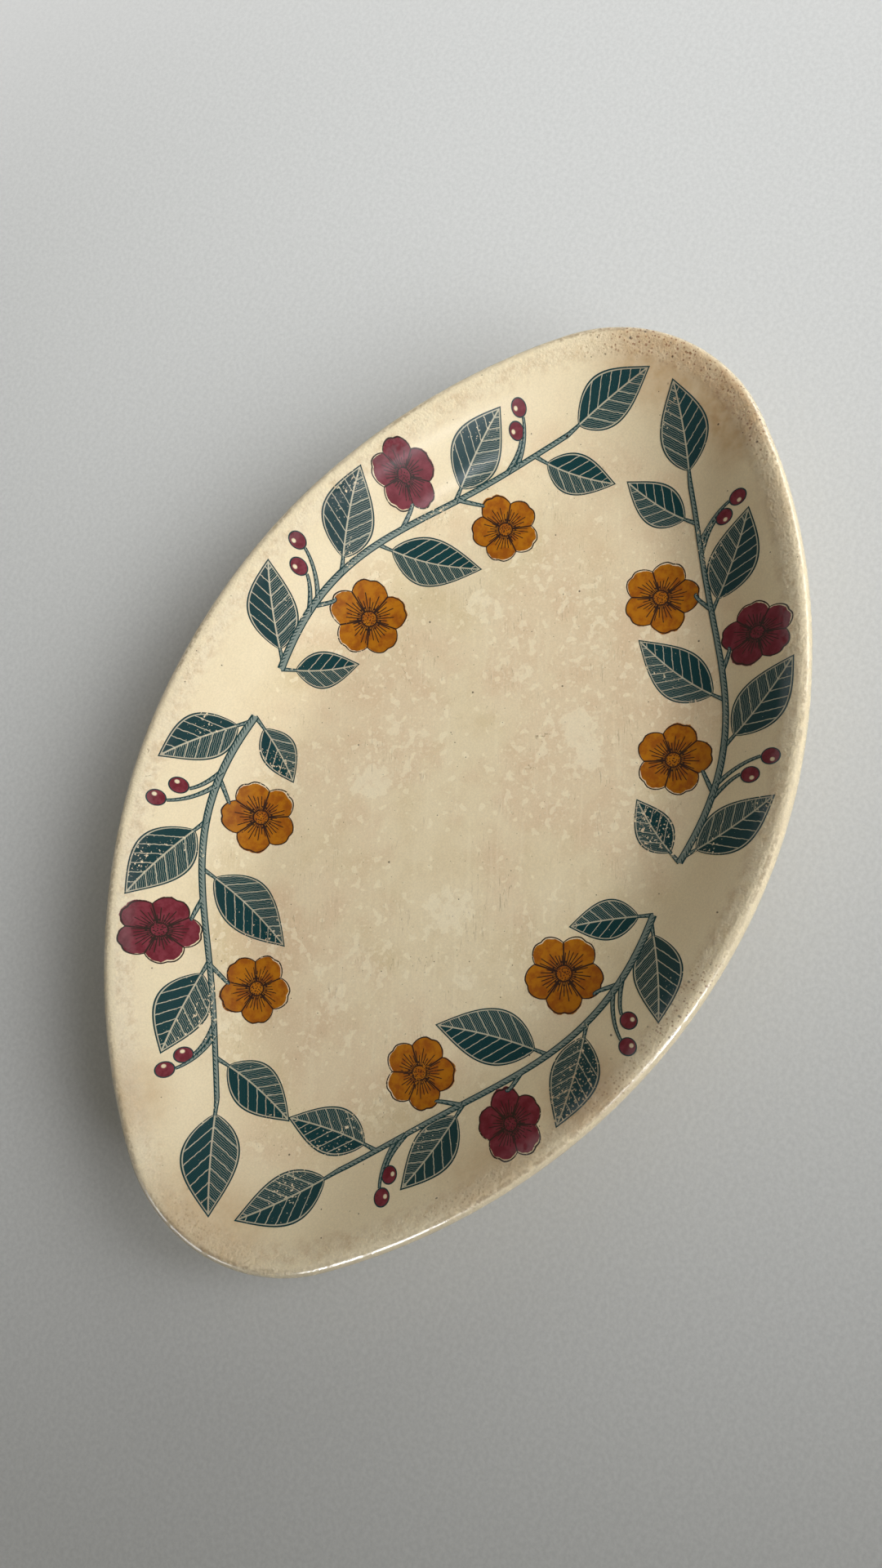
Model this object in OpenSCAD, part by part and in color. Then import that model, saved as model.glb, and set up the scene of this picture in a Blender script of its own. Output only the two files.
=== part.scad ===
/* [Rim] */
// Length over the rim
dish_l = 240; // [200:1:300]
// Width over the rim
dish_w = 148; // [125:1:190]
// Plan radius of the rim's two ends
rim_end_r = 38; // [28:1:60]
// Height from the table to the top of the lip
dish_h = 30; // [24:0.5:50]
// Thickness of the rounded lip
lip_t = 3.6; // [3:0.2:6]

/* [Well] */
// Length of the flat floor
floor_l = 156; // [130:1:185]
// Width of the flat floor
floor_w = 82; // [72:1:105]
// Plan radius of the floor's two ends
floor_end_r = 23; // [18:1:33]
// Thickness of the clay under the floor
floor_t = 4.4; // [3:0.2:8]
// Share of the wall's run that curves up from the floor, before it runs straight to the lip
cove = 0.6; // [0.2:0.05:1]

/* [Foot ring] */
// Height of the ring, from the table to the underside of the body
foot_h = 4.8; // [3:0.1:8]
// Distance from the edge of the flat floor to the ring's outer side
foot_inset = 2; // [1:0.5:5]
// Width of the ring where it meets the body
foot_root_w = 8; // [6:0.5:11]
// Width of the ring's bare standing face
foot_face_w = 4; // [2:0.5:5.5]

/* [Glaze] */
// Thickness of the glaze coat
glaze_t = 0.4; // [0.2:0.05:0.8]
// Gap between the edge of the glaze and the foot ring
glaze_gap = 0.2; // [0.1:0.05:0.6]

/* [Hidden] */
// Steps round each end, round each side, up the wall and over the lip
end_steps = 14;
side_steps = 26;
wall_steps = 9;
lip_steps = 8;

// How far a cut runs past the faces it opens
overcut = 1;

clay = "#dcc49a";
cream = "#eadfc0";

// Ovals are [half length, half width, end radius]
rim_oval = [dish_l / 2, dish_w / 2, rim_end_r];
clay_oval = inset_oval(rim_oval, glaze_t);
floor_oval = [floor_l / 2, floor_w / 2, floor_end_r];
foot_oval = inset_oval(floor_oval, foot_inset);

floor_z = foot_h + floor_t;
lip_r = lip_t / 2;
lip_oval = inset_oval(clay_oval, lip_r);
lip_z = dish_h - glaze_t - lip_r;

// Rise for each step of run along the straight part of the wall, in shares of both
steepness = 1 / (1 - cove / 2);

// Lean of the wall where it runs into the lip, halfway between the ends and the sides
mean_run = ((lip_oval[0] - floor_oval[0]) + (lip_oval[1] - floor_oval[1])) / 2;
lip_lean = atan2(steepness * (lip_z - floor_z), mean_run);

// An oval drawn in all round by d
function inset_oval(o, d) = [for (size = o) size - d];

// A size or an oval part of the way from one to another
function between(a, b, share) = a + (b - a) * share;

// Four arcs that run into each other make the oval: two end arcs and two side arcs
function side_r(o) = (pow(o[0] - o[2], 2) + o[1] * o[1] - o[2] * o[2]) / (2 * (o[1] - o[2]));
function join_angle(o) = atan2(side_r(o) - o[1], o[0] - o[2]);

function arc(centre, r, from, to, steps) = [
    for (i = [0 : steps - 1])
    let (turn = between(from, to, i / steps))
    centre + r * [cos(turn), sin(turn)]
];

function oval_points(o) =
    let (reach = o[0] - o[2], drop = side_r(o) - o[1], join = join_angle(o))
    concat(
        arc([reach, 0], o[2], -join, join, end_steps),
        arc([0, -drop], side_r(o), join, 180 - join, side_steps),
        arc([-reach, 0], o[2], 180 - join, 180 + join, end_steps),
        arc([0, drop], side_r(o), 180 + join, 360 - join, side_steps)
    );

// How far the foot ring's sides are drawn in at a height, and the oval of its inner side there
function foot_draft(z) = (foot_root_w - foot_face_w) / 2 * (1 - z / foot_h);
function recess_oval(z) = inset_oval(foot_oval, foot_root_w - foot_draft(z));

// A station of a loft is [oval, height]
function station(o, z) = [o, z];

// Share of the wall's height reached at a share of its run
function rise(run) = steepness * (run < cove ? pow(run, 2) / (2 * cove) : run - cove / 2);

// Point of the lip's half round, by its angle above level
function lip_station(turn) = station(inset_oval(lip_oval, -lip_r * cos(turn)), lip_z + lip_r * sin(turn));

// Wall from the edge of the floor, at height z, up to a station of the lip
function wall(z, lip) = [
    for (i = [0 : wall_steps - 1])
    let (run = i / wall_steps)
    station(between(floor_oval, lip[0], run), between(z, lip[1], rise(run)))
];

function reversed(list) = [for (i = [len(list) - 1 : -1 : 0]) list[i]];

// The clay's section: up the inside, over the lip and down the outside to the flat underside
lip_start = 90 + lip_lean;
lip_end = lip_lean - 90;
clay_section = concat(
    wall(floor_z, lip_station(lip_start)),
    [for (i = [0 : lip_steps]) lip_station(between(lip_start, lip_end, i / lip_steps))],
    reversed(wall(foot_h, lip_station(lip_end)))
);

// Across and up from one station to another, taken halfway between the ends and the sides
function step_to(a, b) = [(b[0][0] + b[0][1] - a[0][0] - a[0][1]) / 2, b[1] - a[1]];

// Direction square to the section at station i, pointing out of the clay
function outward(section, i) =
    i == 0 ? [0, 1] :
    i == len(section) - 1 ? [0, -1] :
    let (way = step_to(section[i - 1], section[i + 1]))
    [-way[1], way[0]] / norm(way);

// The same section with a coat of thickness t on it
function coated(section, t) = [
    for (i = [0 : len(section) - 1])
    let (out = outward(section, i) * t)
    station(inset_oval(section[i][0], -out[0]), section[i][1] + out[1])
];

// A closed solid through a list of stations, flat across the first and the last
module loft(section) {
    count = 2 * (end_steps + side_steps);
    last = len(section) - 1;
    points = [
        for (s = section)
        for (p = oval_points(s[0]))
        [p[0], p[1], s[1]]
    ];
    sides = [
        for (i = [0 : last - 1])
        for (j = [0 : count - 1])
        let (a = i * count + j, b = i * count + (j + 1) % count)
        for (face = [[a, b, b + count], [a, b + count, a + count]])
        face
    ];
    first_cap = [for (j = [count - 1 : -1 : 0]) j];
    last_cap = [for (j = [0 : count - 1]) last * count + j];
    polyhedron(points, concat(sides, [first_cap], [last_cap]));
}

// Earthenware shell: flat floor, flared wall and rounded lip
module body() {
    color(clay)
        loft(clay_section);
}

// Standing ring under the floor, drawn in on both sides to a narrow bare face
module foot_ring() {
    color(clay)
        difference() {
            loft([for (z = [foot_h, 0]) station(inset_oval(foot_oval, foot_draft(z)), z)]);
            loft([for (z = [foot_h + overcut, -overcut]) station(recess_oval(z), z)]);
        }
}

// Coat over the well, the lip and the outside, as far as the foot ring
module glaze() {
    edge = inset_oval(foot_oval, -glaze_gap);
    color(cream)
        loft(concat(
            coated(clay_section, glaze_t),
            [station(edge, foot_h - glaze_t), station(edge, foot_h)],
            reversed(clay_section)
        ));
}

// Coat on the underside, inside the foot ring
module base_glaze() {
    color(cream)
        translate([0, 0, foot_h - glaze_t])
            linear_extrude(glaze_t)
                polygon(oval_points(inset_oval(recess_oval(foot_h), glaze_gap)));
}

body();
foot_ring();
glaze();
base_glaze();
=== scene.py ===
import math
import random

import bmesh
import bpy
from mathutils import Matrix, Vector, noise
from mathutils.bvhtree import BVHTree


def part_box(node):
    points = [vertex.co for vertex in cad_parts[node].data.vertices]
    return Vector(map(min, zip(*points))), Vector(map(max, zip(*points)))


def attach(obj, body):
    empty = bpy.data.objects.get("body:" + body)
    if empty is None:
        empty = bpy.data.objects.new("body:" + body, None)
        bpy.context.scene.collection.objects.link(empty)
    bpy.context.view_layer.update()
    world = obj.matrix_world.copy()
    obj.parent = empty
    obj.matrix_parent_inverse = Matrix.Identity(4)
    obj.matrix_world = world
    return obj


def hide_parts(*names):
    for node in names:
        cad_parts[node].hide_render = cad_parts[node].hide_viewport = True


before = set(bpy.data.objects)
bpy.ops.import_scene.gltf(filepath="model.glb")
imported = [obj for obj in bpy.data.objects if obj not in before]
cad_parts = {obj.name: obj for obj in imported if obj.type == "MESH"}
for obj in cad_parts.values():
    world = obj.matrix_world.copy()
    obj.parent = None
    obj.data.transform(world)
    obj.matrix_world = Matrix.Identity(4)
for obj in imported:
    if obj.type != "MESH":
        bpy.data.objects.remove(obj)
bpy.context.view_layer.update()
mm = 0.001  # every size below is in millimetres
scene = bpy.context.scene
scene.view_settings.view_transform = "Standard"
print("frame:", ", ".join(sorted(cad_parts)))


# small helpers for the node trees

def plug(socket, value):
    if isinstance(value, bpy.types.NodeSocket):
        socket.id_data.links.new(value, socket)
    else:
        socket.default_value = value


def addNode(tree, kind, inputs=None, **settings):
    made = tree.nodes.new("ShaderNode" + kind)
    for name, value in settings.items():
        setattr(made, name, value)
    for socket, value in (inputs or {}).items():
        plug(made.inputs[socket], value)
    return made


def nextNode(kind, inputs, **settings):  # a node in the tree that its inputs come from
    tree = next(value.id_data for value in inputs.values() if isinstance(value, bpy.types.NodeSocket))
    return addNode(tree, kind, inputs, **settings)


def sums(operation, *values):
    return nextNode("Math", dict(enumerate(values)), operation=operation).outputs[0]


def vectorSums(operation, *values):
    return nextNode("VectorMath", dict(enumerate(values)), operation=operation).outputs[0]


def distanceTo(point, place):
    return nextNode("VectorMath", {0: point, 1: place}, operation="DISTANCE").outputs["Value"]


def chain(operation, values):
    total = values[0]
    for value in values[1:]:
        total = sums(operation, total, value)
    return total


def product(*values):
    return chain("MULTIPLY", values)


def largest(*values):
    return chain("MAXIMUM", values)


def rootOfSquares(x, y):
    return sums("SQRT", weigh(x, x, product(y, y)))


def weigh(value, weight, base):  # the value times its weight, on top of a base
    return sums("MULTIPLY_ADD", value, weight, base)


def rest(value):  # what is left of a share
    return sums("SUBTRACT", 1.0, value)


def ramp(value, start, end, low=0.0, high=1.0):
    inputs = {"Value": value, "From Min": start, "From Max": end, "To Min": low, "To Max": high}
    return nextNode("MapRange", inputs, interpolation_type="SMOOTHSTEP").outputs[0]


def fade(value, start, end):  # 1 up to the start, 0 from the end on
    return ramp(value, start, end, 1.0, 0.0)


def below(value, limit, soft):  # 1 under a limit, 0 over it
    return fade(value, limit - soft, limit + soft)


def band(value, start, startFull, endFull, end):  # 1 in the middle, 0 to both sides
    return product(ramp(value, start, startFull), fade(value, endFull, end))


def cloud(vector, scale, detail=2.0, roughness=0.5):
    inputs = {"Vector": vector, "Scale": scale, "Detail": detail, "Roughness": roughness}
    return nextNode("TexNoise", inputs).outputs[0]


def mottle(vector, scale, detail, roughness, *span):  # a cloud cut down to a range of its values
    return ramp(cloud(vector, scale, detail, roughness), *span)


def swing(vector, scale, detail, reach):  # a cloud that swings to both sides of 0
    return product(sums("SUBTRACT", cloud(vector, scale, detail), 0.5), reach)


def cells(vector, scale):
    return nextNode("TexVoronoi", {"Vector": vector, "Scale": scale}, voronoi_dimensions="2D")


def tint(share, under, over, blend="MIX"):
    mixer = nextNode("Mix", {0: share, 6: under, 7: over}, data_type="RGBA", blend_type=blend)
    return mixer.outputs[2]


def attribute(tree, name):
    return addNode(tree, "Attribute", attribute_name=name).outputs["Fac"]


def startMaterial(name):
    material = bpy.data.materials.new(name)
    material.use_nodes = True
    tree = material.node_tree
    tree.nodes.clear()
    shader = addNode(tree, "BsdfPrincipled")
    addNode(tree, "OutputMaterial", {"Surface": shader.outputs[0]})
    return material, tree, shader


def objectPoint(tree):  # the point on the piece, in millimetres
    where = addNode(tree, "TexCoord").outputs["Object"]
    return nextNode("VectorMath", {0: where, "Scale": 1 / mm}, operation="SCALE").outputs[0]


# the glaze, its stains and its wear, and painted shade under the lip

glaze = {
    "cream": (0.775, 0.655, 0.432, 1),
    "pale": (0.850, 0.745, 0.525, 1),  # flecks and scuffs left clear
    "tan": (0.660, 0.525, 0.310, 1),  # stain under the glaze
    "pink": (0.685, 0.520, 0.328, 1),  # its warmer patches
    "umber": (0.400, 0.195, 0.055, 1),  # brown soaks at the rim
    "grimeAndShade": (0.300, 0.205, 0.110, 1),  # dirt in the scratches, a darker line inside the lip, and dirt with painted shade down the lip's outer side
    "speck": (0.060, 0.038, 0.022, 1),
    "rust": (0.250, 0.115, 0.048, 1),  # fine specks inside the lip

    # clouds: scale, detail, roughness, the range of values kept, and what it is spread over
    "clouds": (0.028, 5, 0.62, 0.38, 0.64),
    "blotches": (0.12, 5, 0.65, 0.42, 0.66),
    "rosy": (0.037, 3, 0.5, 0.38, 0.58),
    "flecks": (0.42, 2, 0.40, 0.626, 0.672),
    "crumbs": (1.1, 2, 0.40, 0.64, 0.70),
    "streaks": (1.0, 3, 0.5, 0.57, 0.68),
    "ragged": (0.30, 5, 0.70, 0.34, 0.66, 0.60, 1.0),
    "rimDirt": (0.40, 5, 0.72, 0.42, 0.68),
    "rimPatches": (0.045, 3, 0.5, 0.38, 0.60),
    "creaseGaps": (0.8, 3, 0.5, 0.36, 0.58),
    "hairPatches": (0.16, 3, 0.5, 0.54, 0.62),
    "scratchGaps": (0.9, 3, 0.5, 0.38, 0.56),
    "grain": (2.4, 3, 0.65, 0.30, 0.70, 0.945, 1.045),
    "unworn": (0.50, 4, 0.68, 0.38, 0.50),
    "gather": (0.055, 3),  # patches that the flecks gather in
    "gatherPull": (0.46, -0.23),  # what those add, and take away
    "hairs": (1.0, 2),
    "hairWidth": (0.006, 0.005),  # and its softness
    "streakTurn": 26,  # degrees, of streaks and hairlines
    "streakScale": (20, 1.6, 1),  # length and width of a streak
    "hairScale": (17, 1.1, 1),
    "floorWander": (0.05, 3, 18.0),  # the stained floor's uneven edge
    "loosened": (0.45, 5),  # makes the placed marks uneven

    # shares of the way over the lip, from the inside to the outside
    "insideEnds": (0.90, 1.0),
    "soakEnds": (0.12, 0.42),
    "speckEnds": (0.30, 0.55),
    "crease": (0.10, 0.20, 0.28, 0.38),  # a thin darker line inside the lip
    "edge": (0.56, 0.76),  # dirt and painted shade outside it

    # heights over which things start, or start and end
    "floorEdge": (11.0, 20.0),  # the stained floor fades out here
    "soakHeights": (15.0, 26.0),
    "rimBand": (25.0, 28.0, 29.2, 29.9),  # the dirty band inside the lip
    "edgeHeights": (24.0, 26.5),
    "pitHeights": (22.0, 28.5),
    "rustHeights": (26.5, 28.8),
    "knockHeights": (26.5, 28.5),
    "lipHeights": (26.0, 28.2),  # the shiny lip

    # plan place, reach and strength of brown soaks, specks in the lip, deeper stains and pale blots
    "soaks": (
        (117, 0, 24, 0.60), (111, -20, 20, 0.66), (96, -42, 16, 0.30), (-49, -58, 14, 0.52),
        (-75, -50, 17, 0.34), (-100, 33, 14, 0.34), (-117, 3, 22, 0.42), (-80, -52, 16, 0.30),
    ),
    "specked": (
        (116, 2, 26, 1.0), (109, -24, 20, 0.9), (-24, -72, 20, 0.8),
        (-46, -66, 14, 0.6), (-82, -48, 16, 0.4), (-116, 6, 14, 0.3),
    ),
    "stains": ((-60, 28, 28, 0.40), (57, -40, 30, 0.30), (20, 8, 26, 0.18)),
    "blots": (
        (-27, -11, 8.5, 1.0), (-8, 22, 6.5, 1.0), (-75, 25, 7.0, 0.8), (27, -19, 6.5, 0.9),
        (-59, 4, 5.0, 0.9), (21, -24, 5.0, 0.9), (45, 17, 6.0, 0.8), (-40, -22, 4.5, 0.8),
    ),
    "cores": {"soaks": 0.30, "specked": 0.40, "stains": 0.20, "blots": 0.35},  # share at full strength

    # both ends and half width of the pale scuffs and of the dark scratches
    "scuffs": ((-48, 26, -58, 6, 0.9), (-72, -18, -63, -21, 1.1), (-18, -30, -8, -33, 0.7)),
    "scratches": (
        (20, -10, 22.5, -13, 0.20), (17, -8.5, 17, -12, 0.17), (12.6, -11, 12.6, -14, 0.17),
        (37, 34, 18, 27, 0.11), (-28.5, 68.2, -26.5, 69.4, 0.30), (-33, 66.5, -31, 66.0, 0.18),
    ),
    "strokeEnds": (0.85, 0.15),  # where they fade, in shares, and how softly
    "strokeSides": (0.70, 0.40),

    # dots: scale, share of the cells that have one, largest radius, softness
    "pins": ((0.085, 0.26, 0.021, 0.007), (0.25, 0.10, 0.038, 0.014)),
    "floorPins": (0.60, 0.10, 0.07, 0.03),
    "rustDots": ((1.2, 0.50, 0.30, 0.10), (0.60, 0.20, 0.19, 0.06)),
    "pits": (0.40, 0.16, 0.12, 0.04),
    "smallestDot": 0.3,  # in shares of the largest
    "dotStep": 0.01,  # softness of the choice of cells

    # strengths
    "floorStain": (0.34, 0.26, 0.16),  # from clouds, from blotches, all over
    "deepStain": (0.6, 0.4),  # from blotches, all over
    "wallStain": (0.10, 0.10),  # from clouds, from blotches
    "creaseDarkening": (0.45, 0.12),  # from the rim's patches, all round
    "edgeDirtAndShade": (0.35, 0.08),  # from the rim's dirt, and all round as painted shade
    "strength": {
        "placed": 0.23, "crumbs": 0.6, "streaks": 0.35, "clear": 0.56, "rimDirt": 0.30, "hairs": 0.50,
        "scratches": 0.75, "floorPins": 0.7, "rimSpecks": 0.20, "rust": 0.80, "pins": 0.85, "pits": 0.80,
    },

    # relief: scale, detail and depth
    "swell": (0.10, 2, 0.060),
    "peel": (0.8, 1, 0.010),
    "grit": (1.7, 2, 0.26),
    "knocks": (0.6, 3, 0.34),
    "holeDepth": 0.05,
    "bump": 0.8,

    "roughness": (0.40, 0.10, 0.06),  # least, more on the worn floor, more in blotches
    "gloss": 0.03,
    "coat": (0.07, 0.16, 1.0),  # worn floor, wall and outside, lip
    "coatRoughness": 0.17,
}


def shaken(point, scale, reach):  # the point pushed about by a cloud
    push = nextNode("TexNoise", {"Vector": point, "Scale": scale, "Detail": 2.0}).outputs["Color"]
    push = vectorSums("SUBTRACT", push, (0.5, 0.5, 0.5))
    return vectorSums("MULTIPLY_ADD", push, (reach, reach, 0), point)


def combed(point, scale):  # the point drawn out along the wiped streaks
    place = {"Vector": point, "Rotation": (0, 0, math.radians(glaze["streakTurn"])), "Scale": scale}
    return nextNode("Mapping", place, vector_type="TEXTURE").outputs[0]


def dots(point, scale, share, reach, soft):  # scattered round marks of many sizes
    found = cells(point, scale)
    chance = nextNode("SeparateColor", {0: found.outputs["Color"]}).outputs[0]
    size = ramp(chance, 1 - share, 1.0, glaze["smallestDot"] * reach, reach)
    there = ramp(chance, 1 - share - glaze["dotStep"], 1 - share + glaze["dotStep"])
    away = sums("SUBTRACT", found.outputs["Distance"], size)
    return product(there, fade(away, -soft, soft))


def patchesAt(level, name):  # soft round patches at given plan places
    total = 0.0
    for x, y, reach, strength in glaze[name]:
        away = distanceTo(level, (x, y, 0))
        total = largest(total, ramp(away, glaze["cores"][name] * reach, reach, strength, 0.0))
    return total


def strokesAt(level, name):  # thin marks from one plan point to another
    total = 0.0
    for startX, startY, endX, endY, half in glaze[name]:
        way = Vector((endX - startX, endY - startY))
        place = {
            "Vector": level,
            "Location": ((startX + endX) / 2, (startY + endY) / 2, 0),
            "Rotation": (0, 0, math.atan2(way.y, way.x)),
            "Scale": (way.length / 2, half, 1),
        }
        local = nextNode("Mapping", place, vector_type="TEXTURE").outputs[0]
        along, across = nextNode("SeparateXYZ", {0: local}).outputs[:2]
        ends = below(sums("ABSOLUTE", along), *glaze["strokeEnds"])
        sides = below(sums("ABSOLUTE", across), *glaze["strokeSides"])
        total = largest(total, product(ends, sides))
    return total


def mottled(at, name):
    return mottle(at["point"], *glaze[name])


def glazePlaces(tree):  # where a point lies, and clouds that several marks share
    point = objectPoint(tree)
    level = vectorSums("MULTIPLY", point, (1, 1, 0))
    height = nextNode("SeparateXYZ", {0: point}).outputs[2]
    outside = attribute(tree, "outside")
    inside = fade(outside, *glaze["insideEnds"])
    uneven = sums("ADD", height, swing(point, *glaze["floorWander"]))
    return {
        "point": point,
        "height": height,
        "outside": outside,
        "inside": inside,
        "flat": product(fade(uneven, *glaze["floorEdge"]), inside),
        "loose": shaken(level, *glaze["loosened"]),
        "blotches": mottle(point, *glaze["blotches"]),
        "rimPatches": mottle(point, *glaze["rimPatches"]),
    }


def stained(at):  # stain under the glaze, deep on the floor and thin up the wall
    clouds = mottled(at, "clouds")
    blotches = at["blotches"]
    fromClouds, fromBlotches, allOver = glaze["floorStain"]
    depth = weigh(clouds, fromClouds, weigh(blotches, fromBlotches, allOver))
    deeper = product(patchesAt(at["loose"], "stains"), weigh(blotches, *glaze["deepStain"]))
    fromClouds, fromBlotches = glaze["wallStain"]
    thin = weigh(clouds, fromClouds, product(blotches, fromBlotches))
    stain = sums("ADD", product(at["flat"], sums("ADD", depth, deeper)), thin)
    rosy = mottled(at, "rosy")
    return tint(stain, glaze["cream"], tint(rosy, glaze["tan"], glaze["pink"]))


def paleMarks(at, colour):  # flecks, blots, scuffs and wiped streaks
    point, loose, strength = at["point"], at["loose"], glaze["strength"]
    gather = weigh(cloud(point, *glaze["gather"]), *glaze["gatherPull"])
    placed = largest(patchesAt(loose, "blots"), strokesAt(loose, "scuffs"))
    gather = weigh(placed, strength["placed"], gather)

    def gathered(scale, detail, roughness, *span):
        return ramp(sums("ADD", cloud(point, scale, detail, roughness), gather), *span)

    flecks = gathered(*glaze["flecks"])
    crumbs = product(gathered(*glaze["crumbs"]), strength["crumbs"])
    streaks = mottle(combed(point, glaze["streakScale"]), *glaze["streaks"])
    clear = largest(flecks, crumbs, product(streaks, strength["streaks"]))
    return tint(product(at["flat"], clear, strength["clear"]), colour, glaze["pale"])


def rimMarks(at, colour):  # brown soaks, dirt along the lip, and painted shade down its outer side
    height, outside = at["height"], at["outside"]
    ragged = mottled(at, "ragged")
    climb = ramp(height, *glaze["soakHeights"])
    within = fade(outside, *glaze["soakEnds"])
    soaked = product(patchesAt(at["loose"], "soaks"), ragged, climb, within)
    dirt = mottled(at, "rimDirt")
    rim = product(band(height, *glaze["rimBand"]), within, dirt, glaze["strength"]["rimDirt"])
    colour = tint(largest(soaked, rim), colour, glaze["umber"])
    # a thin, broken darker line along the inside of the lip
    creaseDarkening = weigh(at["rimPatches"], *glaze["creaseDarkening"])
    gaps = mottled(at, "creaseGaps")
    crease = product(band(outside, *glaze["crease"]), creaseDarkening, gaps)
    # down the outside of the lip: dirt, and painted shade where the lip turns under
    edge = product(ramp(outside, *glaze["edge"]), ramp(height, *glaze["edgeHeights"]))
    edge = product(edge, weigh(dirt, *glaze["edgeDirtAndShade"]))
    return tint(largest(crease, edge), colour, glaze["grimeAndShade"])


def fineMarks(at, colour):  # hairlines, scratches, grain and specks
    point, loose, flat, strength = at["point"], at["loose"], at["flat"], glaze["strength"]
    hairs = cloud(combed(point, glaze["hairScale"]), *glaze["hairs"])
    hairs = below(sums("ABSOLUTE", sums("SUBTRACT", hairs, 0.5)), *glaze["hairWidth"])
    hairs = product(hairs, mottled(at, "hairPatches"), flat, strength["hairs"])
    gaps = mottled(at, "scratchGaps")
    scratches = product(strokesAt(loose, "scratches"), gaps, at["inside"], strength["scratches"])
    colour = tint(largest(hairs, scratches), colour, glaze["grimeAndShade"])
    colour = tint(1.0, colour, mottled(at, "grain"), "MULTIPLY")

    pins = largest(*(dots(point, *kind) for kind in glaze["pins"]))
    floorPins = product(dots(point, *glaze["floorPins"]), flat, strength["floorPins"])
    pins = largest(pins, floorPins)
    rimSpecks = product(at["rimPatches"], strength["rimSpecks"])
    dirty = largest(rimSpecks, patchesAt(loose, "specked"))
    nearLip = product(fade(at["outside"], *glaze["speckEnds"]), dirty)
    rust = largest(*(dots(point, *kind) for kind in glaze["rustDots"]))
    rust = product(rust, ramp(at["height"], *glaze["rustHeights"]), nearLip, strength["rust"])
    colour = tint(rust, colour, glaze["rust"])
    pits = dots(point, *glaze["pits"])
    pits = product(pits, ramp(at["height"], *glaze["pitHeights"]), nearLip)
    holes = largest(product(pins, strength["pins"]), product(pits, strength["pits"]))
    return tint(holes, colour, glaze["speck"]), holes


def glazeRelief(at, holes):  # soft swells, fine peel, knocks on the lip, and the holes
    def waves(name):
        scale, detail, depth = glaze[name]
        return cloud(at["point"], scale, detail), depth

    even = sums("ADD", product(*waves("swell")), product(*waves("peel")))
    knocks = weigh(*waves("knocks"), product(*waves("grit")))
    knocks = product(knocks, ramp(at["height"], *glaze["knockHeights"]))
    relief = sums("ADD", even, knocks)
    return sums("SUBTRACT", relief, product(holes, glaze["holeDepth"]))


def glazeCoat(at):  # worn thin on the floor, shiny where the lip is unworn
    unworn = mottled(at, "unworn")
    onLip = product(ramp(at["height"], *glaze["lipHeights"]), unworn)
    floorCoat, wallCoat, lipCoat = glaze["coat"]
    return weigh(onLip, lipCoat - wallCoat, weigh(at["flat"], floorCoat - wallCoat, wallCoat))


def glazeLook(tree):
    at = glazePlaces(tree)
    colour = rimMarks(at, paleMarks(at, stained(at)))
    colour, holes = fineMarks(at, colour)
    least, onFloor, inBlotches = glaze["roughness"]
    dull = weigh(at["flat"], onFloor, product(at["blotches"], inBlotches))
    return {
        "point": at["point"],
        "colour": colour,
        "roughness": sums("ADD", least, dull),
        "relief": glazeRelief(at, holes),
        "coat": glazeCoat(at),
    }


def glazeShader(shader, look):
    shader.inputs["Specular IOR Level"].default_value = glaze["gloss"]
    shader.inputs["Coat Roughness"].default_value = glaze["coatRoughness"]
    bump = nextNode("Bump", {"Height": look["relief"], "Distance": mm, "Strength": glaze["bump"]})
    plug(shader.inputs["Base Color"], look["colour"])
    plug(shader.inputs["Roughness"], look["roughness"])
    plug(shader.inputs["Coat Weight"], look["coat"])
    plug(shader.inputs["Normal"], bump.outputs[0])


def glazeMaterial():
    material, tree, shader = startMaterial("cream glaze")
    glazeShader(shader, glazeLook(tree))
    return material


# the bare clay of the standing face, with the glaze wiped off it

clay = {
    "colour": (0.560, 0.410, 0.245, 1),
    "dark": (0.250, 0.165, 0.095, 1),
    "wiped": (0.35, 0.55),  # heights over which the glaze starts
    "wander": (0.12, 3),  # scale and detail of that edge's wandering
    "wanderReach": 1.6,
    "worn": (0.5, 5, 0.7, 0.42, 0.68),
    "dirt": 0.6,
    "dry": 0.55,  # how much rougher the clay is than the glaze
    "grit": (2.0, 3),
    "gritDepth": 0.06,
}


def footMaterial():
    material, tree, shader = startMaterial("foot clay and glaze")
    look = glazeLook(tree)
    point = look["point"]
    height = nextNode("SeparateXYZ", {0: point}).outputs[2]
    wander = product(cloud(point, *clay["wander"]), clay["wanderReach"])
    bare = fade(sums("SUBTRACT", height, wander), *clay["wiped"])
    dirty = product(mottle(point, *clay["worn"]), clay["dirt"])
    look["colour"] = tint(bare, look["colour"], tint(dirty, clay["colour"], clay["dark"]))
    look["roughness"] = weigh(bare, clay["dry"], look["roughness"])
    look["coat"] = product(look["coat"], rest(bare))
    grit = product(cloud(point, *clay["grit"]), bare, clay["gritDepth"])
    look["relief"] = sums("ADD", look["relief"], grit)
    glazeShader(shader, look)
    return material


# ovals of four arcs: half length, half width, radius of the ends

def sideRadius(oval):
    length, width, end = oval
    return ((length - end) ** 2 + width ** 2 - end ** 2) / (2 * (width - end))


def ovalPoint(oval, turn):
    length, width, end = oval
    side = sideRadius(oval)
    join = math.atan2(side - width, length - end)
    part, share = int(turn) % 4, turn % 1
    half = math.pi * (part // 2)
    if part % 2:
        centre, radius, angle = Vector((0, width - side)), side, join + share * (math.pi - 2 * join)
    else:
        centre, radius, angle = Vector((length - end, 0)), end, (2 * share - 1) * join
    if part > 1:
        centre.negate()
    return centre + radius * Vector((math.cos(angle + half), math.sin(angle + half)))


def between(first, last, share):
    return tuple(a + (b - a) * share for a, b in zip(first, last))


def grownBy(oval, distance):
    return tuple(size + distance for size in oval)


# a ring of the loft keeps each vertex's turn round the oval in a layer

ringSteps = {"end": 48, "side": 96}


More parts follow.
